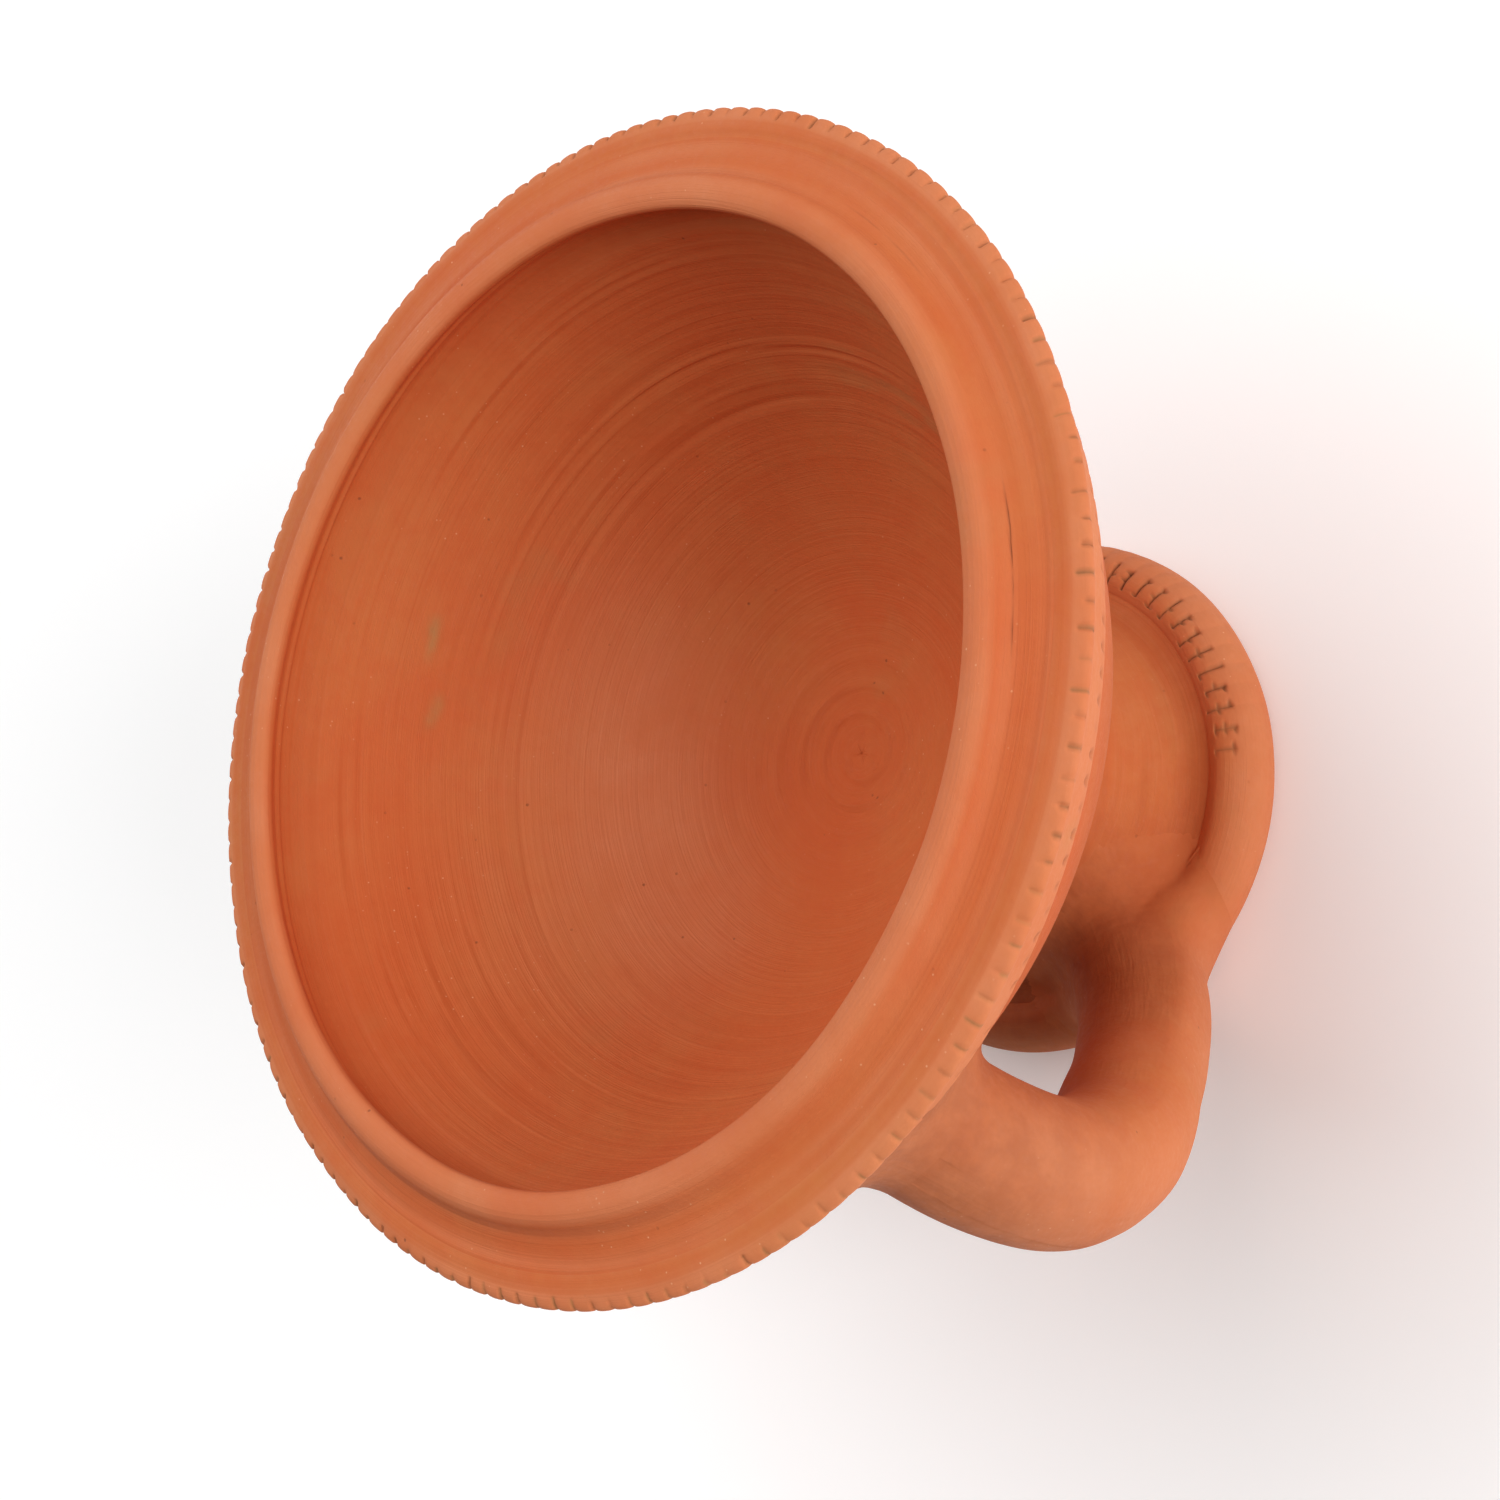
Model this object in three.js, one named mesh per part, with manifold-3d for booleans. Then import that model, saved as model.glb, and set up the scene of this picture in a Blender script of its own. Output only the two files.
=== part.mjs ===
// Terracotta diya lamp: a thrown bowl with a notched rim, a hollow trumpet foot and one looped coil handle.
// Millimetres, +Z up. The lamp stands on its foot, and its handle points along +X.
import * as THREE from 'three';
import * as BufferGeometryUtils from 'three/addons/utils/BufferGeometryUtils.js';
import Module from 'manifold-3d';

const wasm = await Module();
wasm.setup();

// ---------------------------------------------------------------- driving dimensions
const GAP = 0.35;               // clearance between two luted pieces
const RING_GAP = 1.3 * GAP;     // round the foot ring, where the pedestal's seat wraps it
const UNDER_BOWL_GAP = 1.4 * GAP;   // under the bowl, which slopes away from the pieces that carry it
const RIM_HEIGHT = 82.5;        // height of the flange's upper corner
const LEAN = { x: 0.0205, y: -0.0136 };   // the bowl stands off the foot's axis: shift per mm of height

const BOWL = {
  floor: 39.3,                  // height of the lowest point inside
  depth: 42.2,                  // from the floor to the top of the curved wall
  radius: 52.5,                 // inside, where the cup reaches its full depth
  power: 2.4,                   // how fast the wall steepens away from the axis
  belly: { halfWidth: 60.3, halfHeight: 65.2, centreHeight: 97.7 },   // the ellipse the outside follows
  neckRadius: 55.1,             // the upright band that the flange ring is luted to
};
const LIP = {
  mouthRadius: 50.6,            // the narrowest point of the mouth
  crestRadius: 52.6,
  mouthRise: 2.4,               // heights above the flange's upper corner
  crestRise: 3.5,
  edge: 0.45,                   // how far the mouth's inner edge is rounded over
  creaseRise: 1.1,              // where the lip meets the flange
};
const FLANGE = {
  radius: 62.5,                 // over the ridges between the notches
  rise: 0.8,                    // how much higher its inner edge is than its upper corner
  notches: 150,
  notchDepth: 0.7,
  // the sloping side below the edge, as [in from the outer radius, down from the upper corner]
  side: [[4.85, 8.7], [2.9, 5.2], [1.2, 2.4], [0, 0.3]],
  // the worn top edge, as [in from the outer radius, up from the upper corner]
  edge: [[0.6, 0.3], [1.9, 0.5]],
};
const PEDESTAL = {
  waistRadius: 17.5,
  waistHeight: 24.5,
  topRadius: 19.2,
  wall: 5,
  hollowDrop: 1.2,              // how much lower the hollow's curve lies than the outside's
  seatLip: 2.6,                 // how far the pedestal's seat reaches in under the foot ring
  flare: { out: 6, up: 2.2, down: 9 },   // the pull of the trumpet's curve at its foot and at the waist
};
const WAIST_COIL = {
  neck: PEDESTAL.topRadius + 2 * GAP,
  // its outside, as [out from the neck, height], and where it meets the bowl, as distances out from the neck
  outside: [[-1, 28], [0.5, 30.6], [2.8, 33.6], [6.6, 37]],
  underBowl: [8.6, 4.3, 0],
  inside: [-0.6, 32],
};
const FOOT = {
  radius: 32.1,                 // over the ring's widest line
  halfThickness: 4.3,
  wideHeight: 3.9,              // height of the ring's widest line
  notches: 72,
  notchDepth: 0.45,
  base: { inset: 0.9, outset: 1.9 },   // how far the flat base stops short of the ring's two sides
  innerDrop: 1.2,               // how far below its widest line the ring's inner side turns down
};
const HANDLE = {
  radius: 7.8,
  // centre line, from inside the bowl's wall round to the foot
  path: [[50.6, -1.1, 71], [54.2, -1.1, 66.9], [58.1, -1.1, 59.4], [60.1, -1.1, 50.9], [59.2, -1.1, 43.9],
         [55.5, -1.1, 34.4], [49, -1.1, 26], [42.1, -0.9, 18.4], [35.5, -0.5, 12.6], [28.5, 0, 9]],
};
const UPPER_WAD = { centre: [52, -1.1, 66], radii: [9, 10.2, 10] };
const LOWER_WAD = { centre: [28, 3, 11], radii: [9, 12.5, 8.5] };

// ---------------------------------------------------------------- mesh resolution
const TURN_STEPS = 56;          // facets round a plain turned piece
const WALL_STEPS = 9;           // facets along a curved wall
const COIL_SIDES = 12;          // sides of the handle's section
const COIL_STEPS = 28;          // rings along the handle
const BLANK_MARGIN = 9;         // how far the cutting blanks run on past the lamp
const BLANK_GROWTH = 1.008;     // how much wider the bowl's blank is than the bowl

// ---------------------------------------------------------------- outlines, as [radius, height]
const arc = (x, y, rx, ry, from, to, steps) =>
  new THREE.EllipseCurve(x, y, rx, ry, from, to, to < from).getPoints(steps).map((p) => [p.x, p.y]);

/** Height of the bowl's outside at a radius. */
const undersideAt = (radius) =>
  BOWL.belly.centreHeight - BOWL.belly.halfHeight * Math.sqrt(1 - (radius / BOWL.belly.halfWidth) ** 2);
/** Height of the cup's inside at a radius. */
const insideAt = (radius) => BOWL.floor + BOWL.depth * (radius / BOWL.radius) ** BOWL.power;

/** A cup wall from the axis out to a radius. */
function cupWall(reach, heightAt) {
  return Array.from({ length: WALL_STEPS + 1 }, (_, step) => {
    const radius = reach * Math.sin((step / WALL_STEPS) * (Math.PI / 2));
    return [radius, heightAt(radius)];
  });
}

function bowlOutline() {
  const creaseHeight = RIM_HEIGHT + LIP.creaseRise;
  const outerShoulder = arc(LIP.crestRadius, creaseHeight, BOWL.neckRadius - LIP.crestRadius,
    LIP.crestRise - LIP.creaseRise, 0, Math.PI / 2, 4);
  const mouthEdge = [
    [LIP.mouthRadius + LIP.edge, RIM_HEIGHT + LIP.crestRise - LIP.edge],
    [LIP.mouthRadius, RIM_HEIGHT + LIP.mouthRise],
  ];
  return [...cupWall(BOWL.neckRadius, undersideAt), ...outerShoulder, ...mouthEdge,
    ...cupWall(BOWL.radius, insideAt).reverse()];
}

/** A wedge-shaped ring: flat above, sharp at its notched edge, and running down to the bowl's wall below. */
function flangeOutline() {
  const inner = BOWL.neckRadius + GAP;
  const tip = [inner, undersideAt(BOWL.neckRadius) + 2 * GAP];
  const side = FLANGE.side.map(([inset, drop]) => [FLANGE.radius - inset, RIM_HEIGHT - drop]);
  const edge = FLANGE.edge.map(([inset, rise]) => [FLANGE.radius - inset, RIM_HEIGHT + rise]);
  return [tip, ...side, ...edge, [inner, RIM_HEIGHT + FLANGE.rise], tip];
}
const FLANGE_NOTCHED = { 4: 1, 5: 1 };   // outline points that a notch cuts, and how deeply

function footOutline() {
  const { radius, halfThickness: half, wideHeight, base, innerDrop } = FOOT;
  const middle = radius - half;
  const innerBase = [middle - half + base.inset, 0];
  const crown = arc(middle, wideHeight, half, half, -0.45, Math.PI * 0.75, 6);
  const innerSide = [middle - half, wideHeight - innerDrop];
  return [innerBase, [radius - base.outset, 0], ...crown, innerSide, innerBase];
}
const FOOT_NOTCHED = { 4: 0.7, 5: 1, 6: 0.6 };

function pedestalOutline() {
  const { waistRadius, waistHeight, topRadius, wall, hollowDrop, seatLip, flare: pull } = PEDESTAL;
  const room = FOOT.halfThickness + RING_GAP;
  const ringMiddle = FOOT.radius - FOOT.halfThickness;
  const seat = arc(ringMiddle, FOOT.wideHeight, room, room, Math.PI * 0.9, Math.PI * 0.56, 4);
  const [footRadius, footHeight] = seat.at(-1);
  const flare = new THREE.CubicBezierCurve(
    new THREE.Vector2(footRadius, footHeight),
    new THREE.Vector2(footRadius - pull.out, footHeight + pull.up),
    new THREE.Vector2(waistRadius, waistHeight - pull.down),
    new THREE.Vector2(waistRadius, waistHeight));
  const outside = flare.getPoints(6).slice(1).map((p) => [p.x, p.y]);
  const inside = outside.slice(1).map(([radius, height]) => [radius - wall, height - hollowDrop]).reverse();
  const top = undersideAt(topRadius) - UNDER_BOWL_GAP;
  const innerTop = topRadius - wall;
  return [...seat, ...outside, [topRadius, top], [innerTop, undersideAt(innerTop) - UNDER_BOWL_GAP],
    ...inside, [seat[0][0] - seatLip, seat[0][1]], seat[0]];
}

function waistCoilOutline() {
  const { neck, underBowl, inside } = WAIST_COIL;
  const outside = WAIST_COIL.outside.map(([out, height]) => [neck + out, height]);
  const seat = underBowl.map((out) => [neck + out, undersideAt(neck + out) - UNDER_BOWL_GAP]);
  return [...outside, ...seat, [neck + inside[0], inside[1]], outside[0]];
}

// ---------------------------------------------------------------- solids
/** A closed geometry turned round +Z from an outline; every second step may cut a notch into some points. */
function turned(outline, { steps = TURN_STEPS, notched = {}, depth = 0 } = {}) {
  const geometry = new THREE.LatheGeometry(outline.map(([x, y]) => new THREE.Vector2(x, y)), steps);
  const position = geometry.attributes.position;
  for (const [point, share] of Object.entries(notched)) {
    for (let step = 1; step < steps; step += 2) {
      const index = step * outline.length + Number(point);
      const radius = Math.hypot(position.getX(index), position.getZ(index));
      const scale = (radius - depth * share) / radius;
      position.setX(index, position.getX(index) * scale);
      position.setZ(index, position.getZ(index) * scale);
    }
  }
  return geometry.rotateX(Math.PI / 2);
}

/** A tube along the handle's centre line, grown by a clearance where it cuts its neighbours. */
function coil(clearance = 0) {
  const path = new THREE.CatmullRomCurve3(HANDLE.path.map(([x, y, z]) => new THREE.Vector3(x, y, z)));
  const section = new THREE.Shape().absarc(0, 0, HANDLE.radius + clearance, 0, 2 * Math.PI);
  return new THREE.ExtrudeGeometry(section, {
    extrudePath: path,
    steps: COIL_STEPS,
    curveSegments: COIL_SIDES,
  });
}

function lump({ centre, radii }) {
  return new THREE.SphereGeometry(1, 22, 14).scale(...radii).translate(...centre);
}

/** The lean of everything above the foot, which keeps every turned ring level. */
const lean = new THREE.Matrix4().set(
  1, 0, LEAN.x, 0,
  0, 1, LEAN.y, 0,
  0, 0, 1, 0,
  0, 0, 0, 1);

/** A geometry as a manifold solid: positions only, shared vertices merged, collapsed triangles dropped. */
function solid(geometry) {
  geometry.deleteAttribute('normal');
  geometry.deleteAttribute('uv');
  const merged = BufferGeometryUtils.mergeVertices(geometry);
  const index = merged.index.array;
  const triangles = [];
  for (let i = 0; i < index.length; i += 3) {
    const [a, b, c] = [index[i], index[i + 1], index[i + 2]];
    if (a !== b && b !== c && c !== a) triangles.push(a, b, c);
  }
  return new wasm.Manifold(new wasm.Mesh({
    numProp: 3,
    vertProperties: new Float32Array(merged.attributes.position.array),
    triVerts: new Uint32Array(triangles),
  }));
}

/** The largest body of a cut solid, as a geometry. */
function geometryOf(cut) {
  const body = cut.decompose().sort((a, b) => b.volume() - a.volume())[0];
  const mesh = body.getMesh();
  const geometry = new THREE.BufferGeometry();
  geometry.setAttribute('position', new THREE.BufferAttribute(new Float32Array(mesh.vertProperties), 3));
  geometry.setIndex(Array.from(mesh.triVerts));
  geometry.computeVertexNormals();
  return geometry;
}

/** What the clay joints are cut back from: the turned pieces filled in to the axis and grown by the gap. */
function turnedBlanks() {
  const grown = cupWall(BOWL.neckRadius, undersideAt)
    .map(([radius, height]) => [radius * BLANK_GROWTH, height - GAP]);
  const top = RIM_HEIGHT + BLANK_MARGIN;
  const bowl = [...grown, [BOWL.neckRadius + GAP, top], [0, top]];
  const wedge = flangeOutline().slice(0, 5).map(([radius, height]) => [radius + GAP, height - GAP]);
  const flange = [[0, wedge[0][1]], ...wedge, [FLANGE.radius + GAP, top], [0, top]];
  const pedestal = pedestalOutline();
  const outer = pedestal.slice(0, pedestal.findIndex(([radius]) => radius === PEDESTAL.topRadius) + 1)
    .map(([radius, height]) => [radius + 1.5 * GAP, height]);
  const filled = [[0, -BLANK_MARGIN], [outer[0][0], -BLANK_MARGIN], ...outer, [0, outer.at(-1)[1]]];
  const room = FOOT.halfThickness + RING_GAP;
  const shoulder = arc(FOOT.radius - FOOT.halfThickness, FOOT.wideHeight, room, room, 0, Math.PI / 2, 6);
  const disc = [[0, -BLANK_MARGIN], [shoulder[0][0], -BLANK_MARGIN], ...shoulder, [0, shoulder.at(-1)[1]]];
  return [bowl, flange, filled, disc].map((outline) => solid(turned(outline).applyMatrix4(lean)));
}

const cutBack = (body, cutters) => cutters.reduce((rest, cutter) => rest.subtract(cutter), body);

// ---------------------------------------------------------------- assembly
const CLAY = { rim: 0xcd7048, cup: 0xb25a36, foot: 0xc87048, coil: 0xcf7852, wad: 0xc0643f };
const lamp = new THREE.Group();

function add(name, geometry, color) {
  const material = new THREE.MeshStandardMaterial({ color, roughness: 0.92, metalness: 0 });
  const mesh = new THREE.Mesh(geometry, material);
  mesh.name = name;
  lamp.add(mesh);
}

const blanks = turnedBlanks();
const handle = cutBack(solid(coil()), blanks);
const handleRoom = solid(coil(GAP));

add('bowl', turned(bowlOutline()).applyMatrix4(lean), CLAY.cup);
add('flange_ring', turned(flangeOutline(), {
  steps: 2 * FLANGE.notches, notched: FLANGE_NOTCHED, depth: FLANGE.notchDepth,
}).applyMatrix4(lean), CLAY.rim);
add('waist_coil', turned(waistCoilOutline()).applyMatrix4(lean), CLAY.wad);
add('pedestal', turned(pedestalOutline()).applyMatrix4(lean), CLAY.foot);
add('foot_ring', turned(footOutline(), {
  steps: 2 * FOOT.notches, notched: FOOT_NOTCHED, depth: FOOT.notchDepth,
}).applyMatrix4(lean), CLAY.foot);
add('handle', geometryOf(handle), CLAY.coil);
add('handle_upper_wad', geometryOf(cutBack(solid(lump(UPPER_WAD)), [...blanks, handleRoom])), CLAY.wad);
add('handle_lower_wad', geometryOf(cutBack(solid(lump(LOWER_WAD)), [...blanks, handleRoom])), CLAY.wad);

// The lamp stands on z = 0 with its bounding box centred on the origin.
const box = new THREE.Box3().setFromObject(lamp);
const middle = box.getCenter(new THREE.Vector3());
lamp.position.set(-middle.x, -middle.y, -box.min.z);

export default lamp;
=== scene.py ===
"""A terracotta diya lamp: finely meshed thrown, rolled and wiped clay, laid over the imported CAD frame."""
import math

import bpy
import numpy as np
from mathutils import Matrix, Vector


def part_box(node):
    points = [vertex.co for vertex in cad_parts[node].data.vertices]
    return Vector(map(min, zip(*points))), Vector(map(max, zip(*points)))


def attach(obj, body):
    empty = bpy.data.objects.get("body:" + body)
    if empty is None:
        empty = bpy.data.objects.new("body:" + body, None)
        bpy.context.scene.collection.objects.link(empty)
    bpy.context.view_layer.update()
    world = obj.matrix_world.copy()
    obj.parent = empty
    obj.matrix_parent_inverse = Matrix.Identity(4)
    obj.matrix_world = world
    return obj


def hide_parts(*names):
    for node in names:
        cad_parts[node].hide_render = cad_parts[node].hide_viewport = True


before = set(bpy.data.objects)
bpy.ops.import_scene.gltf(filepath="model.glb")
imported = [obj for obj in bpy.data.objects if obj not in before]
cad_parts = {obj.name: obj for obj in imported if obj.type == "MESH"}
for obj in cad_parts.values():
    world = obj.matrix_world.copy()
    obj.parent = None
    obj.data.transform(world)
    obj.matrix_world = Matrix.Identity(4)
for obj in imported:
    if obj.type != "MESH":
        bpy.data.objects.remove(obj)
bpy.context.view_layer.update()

MM = 0.001
TAU = 2 * math.pi

# -------------------------------------------- places and sizes taken from the frame, in millimetres


def box_mm(node):
    low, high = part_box(node)
    return np.array(low) / MM, np.array(high) / MM


rim_low, rim_high = box_mm("flange_ring")
foot_low, foot_high = box_mm("foot_ring")
bowl_low, bowl_high = box_mm("bowl")
LIP_RISE = 3.5                           # the lip's crest stands this far above the flange's upper corner
FOOT_WIDE = 3.9                          # height of the foot ring's widest line
RIM_HEIGHT = bowl_high[2] - LIP_RISE
UNDERSIDE = bowl_low[2]                  # the lowest point of the bowl's outside
foot_axis = (foot_low + foot_high)[:2] / 2
rim_axis = (rim_low + rim_high)[:2] / 2
LEAN = (rim_axis - foot_axis) / (RIM_HEIGHT - FOOT_WIDE)

# -------------------------------------------- driving dimensions, in millimetres
CUP_FLOOR = 39.3                         # height of the lowest point inside the bowl
CUP_DEPTH = 42.2                         # from there to the top of the curved wall
CUP_RADIUS = 52.5
CUP_POWER = 2.4                          # how fast the wall steepens
BELLY = {"half_width": 60.3, "centre": 97.7}            # the ellipse of the bowl's outside
BELLY["half_height"] = BELLY["centre"] - UNDERSIDE

RIM_NOTCHES = 150
FOOT_NOTCHES = 72
NOTCH_STOPS = (-0.36, -0.2, -0.08, 0, 0.08, 0.2, 0.36, 0.5)   # mesh columns across one notch, in pitches
NICK_REACH = 0.12                        # half a cut's width at the surface, as a share of a pitch

HANDLE_RADIUS = 7.8
HANDLE_PATH = (                          # from inside the bowl's wall to the foot, taken from the foot's axis
    (47, -1.1, 75.1), (50.6, -1.1, 71), (54.2, -1.1, 66.9), (58.1, -1.1, 59.4), (60.1, -1.1, 50.9),
    (59.2, -1.1, 43.9), (55.5, -1.1, 34.4), (49, -1.1, 26), (42.1, -0.9, 18.4), (35.5, -0.5, 12.6),
    (28.5, 0, 9), (21.5, 0.5, 6))
HANDLE_INSIDE = 5.5                      # how much of the path's start lies too deep for the wads to follow
BOWL_FILLET_OUTER = 5.0                  # how far slip blends the handle into the bowl, on its outer side
BOWL_FILLET_INNER = 2.5                  # and on the side of the finger gap
FOOT_FILLET_OUTER = 5.5                  # and into the foot, on the handle's outer side
FOOT_FILLET_INNER = 7.0                  # and on its inner side, where the pedestal sweeps into it
PAINTED_JOINT_SHADE = {"centre": (25, -3, 18), "reach": 14, "share": 0.5}    # painted shade in the corner between the handle and the foot
STAIN = 0.3                              # how dark the foot is round STAIN_TURN
STAIN_TURN = -85                         # degrees from the handle
WAIST_PAINTED_SHADE = 0.35                        # painted shade: how much darker the waist under the bowl is painted
GROOVE_PAINTED_SHADE = 0.12                       # and the painted shade in the groove between pedestal and foot ring
FOOT_SMOOTH = 20                         # degrees each side of the handle where the foot's skin is smooth
WAD_SUNK = 0.03                          # how far the wads stay under the joints' wiped skin
WAD_EDGE_SUNK = 0.9                      # and at their edges
WAD_EDGE_FROM = 0.72                     # share of a wad's radius where its edge begins
WAD_COVER = 1.2                          # clay between the wads and the cup, the foot's hollow and the ground
FOOT_HOLLOW = ((23.8, 0), (23.9, 4.5), (22.4, 5.8), (20.4, 8.4), (18, 11.4), (15.4, 15.2), (13.4, 19.5),
               (12.6, 24), (0, 33))      # radius and height of the hollow's wall
# the ellipsoids that the wads fill, taken from the foot's axis
UPPER_WAD = {"centre": (53, -1.1, 66), "radii": (19, 20, 18)}
LOWER_WAD = {"centre": (27, 1, 8), "radii": (18, 23, 20)}

# -------------------------------------------- smooth repeatable noise
LATTICE = np.random.default_rng(41).random((32, 32, 32)) * 2 - 1


def noise(points, size):
    """Smooth noise from -1 to 1 at points (..., 3) in millimetres, with lumps about size across."""
    scaled = np.asarray(points, float) / size
    whole = np.floor(scaled).astype(int)
    part = scaled - whole
    part = part * part * part * (part * (part * 6 - 15) + 10)
    total = 0
    for corner in np.ndindex(2, 2, 2):
        weight = np.prod(np.where(corner, part, 1 - part), axis=-1)
        i, j, k = np.moveaxis((whole + corner) % LATTICE.shape[0], -1, 0)
        total = total + weight * LATTICE[i, j, k]
    return total


def bell(value, centre, width):
    return np.exp(-((value - centre) / width) ** 2)


def ramp(value, start, end):
    """0 before start, 1 after end, smooth between them. start may lie after end."""
    share = np.clip((value - start) / (end - start), 0, 1)
    return share * share * (3 - 2 * share)


def wedge(value, half_width):
    """1 at zero, falling in straight lines to 0 at half_width on both sides."""
    return np.clip(1 - np.abs(value) / half_width, 0, 1)


def turn_gap(angle, degrees):
    """How far an angle in radians lies from one in degrees, in degrees from -180 to 180."""
    return (np.degrees(angle) - degrees + 180) % 360 - 180


def near_turn(angle, degrees, half_span, fade):
    """1 within half_span degrees of a direction, fading to 0 over the next fade degrees."""
    return ramp(np.abs(turn_gap(angle, degrees)), half_span + fade, half_span)


# -------------------------------------------- outlines of the turned pieces
def smooth_curve(points, steps=24):
    """A Catmull-Rom curve through the points."""
    p = np.array(points, float)
    padded = np.vstack([2 * p[0] - p[1], p, 2 * p[-1] - p[-2]])
    t = np.linspace(0, 1, steps, endpoint=False)[:, None]
    pieces = []
    for a, b, c, d in zip(padded, padded[1:], padded[2:], padded[3:]):
        pieces.append(0.5 * (2 * b + (c - a) * t + (2 * a - 5 * b + 4 * c - d) * t ** 2
                             + (3 * b - a - 3 * c + d) * t ** 3))
    return np.vstack([*pieces, p[-1:]])


def outline(points):
    """Rows of a mesh along a smooth curve through (radius, height, row spacing) points."""
    dense = smooth_curve(points)
    run = np.linalg.norm(np.diff(dense[:, :2], axis=0), axis=1)
    rows = np.concatenate([[0], np.cumsum(run * 2 / (dense[1:, 2] + dense[:-1, 2]))])
    wanted = np.linspace(0, rows[-1], round(rows[-1]) + 1)
    return np.stack([np.interp(wanted, rows, dense[:, k]) for k in (0, 1)], axis=1)


def cup_height(radius):
    return CUP_FLOOR + CUP_DEPTH * (radius / CUP_RADIUS) ** CUP_POWER


def belly_height(radius):
    return BELLY["centre"] - BELLY["half_height"] * math.sqrt(1 - (radius / BELLY["half_width"]) ** 2)


def raised(points):
    """Points given with their height from the flange's upper corner."""
    return [(radius, RIM_HEIGHT + height, spacing) for radius, height, spacing in points]


BOWL_OUTLINE = outline([
    *((radius, cup_height(radius), 0.4) for radius in (0, 3, 7, 12, 18, 24, 30)),
    *((radius, cup_height(radius), 0.27) for radius in (36, 41, 45, 48.2, 50.3)),
    *raised([
        (51.5, -3.6, 0.24), (52.2, -2.5, 0.22), (52.55, -1.3, 0.22), (52.45, -0.4, 0.2), (52, 0.15, 0.2),
        (51.95, 0.75, 0.2), (51.3, 1.5, 0.22), (50.75, 2.1, 0.22), (50.65, 2.6, 0.22), (50.95, 3.1, 0.22),
        (51.7, 3.42, 0.25), (52.6, 3.5, 0.25), (53.4, 3.3, 0.22), (54.2, 2.7, 0.16), (54.75, 1.95, 0.1),
        (55.3, 1.42, 0.08), (56.1, 1.08, 0.12), (57, 0.8, 0.22), (57.9, 0.56, 0.25), (58.7, 0.53, 0.3),
        (59.3, 0.36, 0.4), (58.6, -0.4, 1), (56.4, -1.8, 1.5), (55.4, -3.2, 2), (55, -7, 2),
        (55.1, -10.6, 1)]),
    *((radius, belly_height(radius), 0.9) for radius in (54.6, 52.5, 49.5, 45, 40, 34, 28)),
    *((radius, belly_height(radius), 3) for radius in (21, 14, 7, 0))])

FLANGE_OUTLINE = outline(raised([
    (54.6, -0.6, 0.8), (55, 0.1, 0.7), (55.8, 0.35, 0.6), (56.8, 0.4, 0.5), (57.8, 0.44, 0.3),
    (58.7, 0.51, 0.3), (59.6, 0.5, 0.32), (60.5, 0.42, 0.22), (61.2, 0.29, 0.15), (61.9, 0.08, 0.14),
    (62.35, -0.3, 0.14), (62.35, -0.8, 0.15), (62, -1.4, 0.2), (61.4, -2.1, 0.3), (60.5, -3.2, 0.45),
    (59.8, -4.6, 0.5), (59.2, -6.2, 0.4), (58.6, -7.6, 0.3), (57.8, -8.9, 0.35), (56.7, -10, 0.5),
    (55.6, -11.3, 0.5), (54.9, -12.4, 0.7), (54, -11.5, 1.5), (53.8, -6, 3), (54.6, -0.6, 1.2)]))

WAIST_OUTLINE = outline([
    (17, 23.8, 0.5), (17.38, 25.2, 0.45), (17.62, 26.8, 0.45), (18.15, 28.7, 0.45), (19.4, 31.2, 0.45),
    (21.6, 34, 0.45), (24.4, 36.6, 0.45), (27.4, 38.9, 0.45), (30, 40.85, 0.45), (33, 43.08, 0.5),
    (36, 45.44, 0.5), (39, 47.9, 0.8),
    (36, 47.3, 1.5), (26, 41.5, 1.5), (20, 37, 1.5), (17, 31, 1.5), (16, 26.4, 0.8), (17, 23.8, 0.5)])

PEDESTAL_OUTLINE = outline([
    (25.8, 4.9, 0.4), (26.8, 6, 0.3), (27, 6.9, 0.2), (26.8, 7.45, 0.2), (26.2, 7.7, 0.2), (25.2, 7.9, 0.25),
    (24, 8.5, 0.25), (22.8, 9.9, 0.25), (21.4, 12.4, 0.3), (19.7, 16, 0.3), (18.2, 20, 0.3),
    (17.55, 24, 0.4), (17.5, 26.5, 0.5), (18.2, 31, 1), (18.8, 35, 1.5), (16, 36, 1.5),
    (13.8, 33.5, 1.5), (13, 29, 1), (12.6, 24, 0.8),
    (13.4, 19.5, 0.8), (15.4, 15.2, 0.7), (18, 11.4, 0.6), (20.4, 8.4, 0.5), (22.4, 5.8, 0.5),
    (24.2, 4.5, 0.4), (25.8, 4.9, 0.4)])

FOOT_OUTLINE = outline([
    (24.9, 0.25, 0.5), (27.3, 0.02, 0.6), (29.8, 0.08, 0.45), (31.2, 0.95, 0.4), (31.95, 2.5, 0.35),
    (32.1, 4, 0.25), (31.75, 5.5, 0.2), (30.8, 6.9, 0.17), (29.4, 7.85, 0.17), (28.1, 8.2, 0.17),
    (27.1, 7.98, 0.17), (26.2, 7.5, 0.25), (25.2, 6.7, 0.5), (24.2, 5.4, 0.6), (23.6, 3.4, 0.6),
    (23.9, 1.4, 0.6), (24.9, 0.25, 0.5)])

# -------------------------------------------- turned pieces


def axis_at(height):
    """The leaning axis's place at a height, as x and y."""
    return foot_axis[0] + LEAN[0] * (height - FOOT_WIDE), foot_axis[1] + LEAN[1] * (height - FOOT_WIDE)


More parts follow.
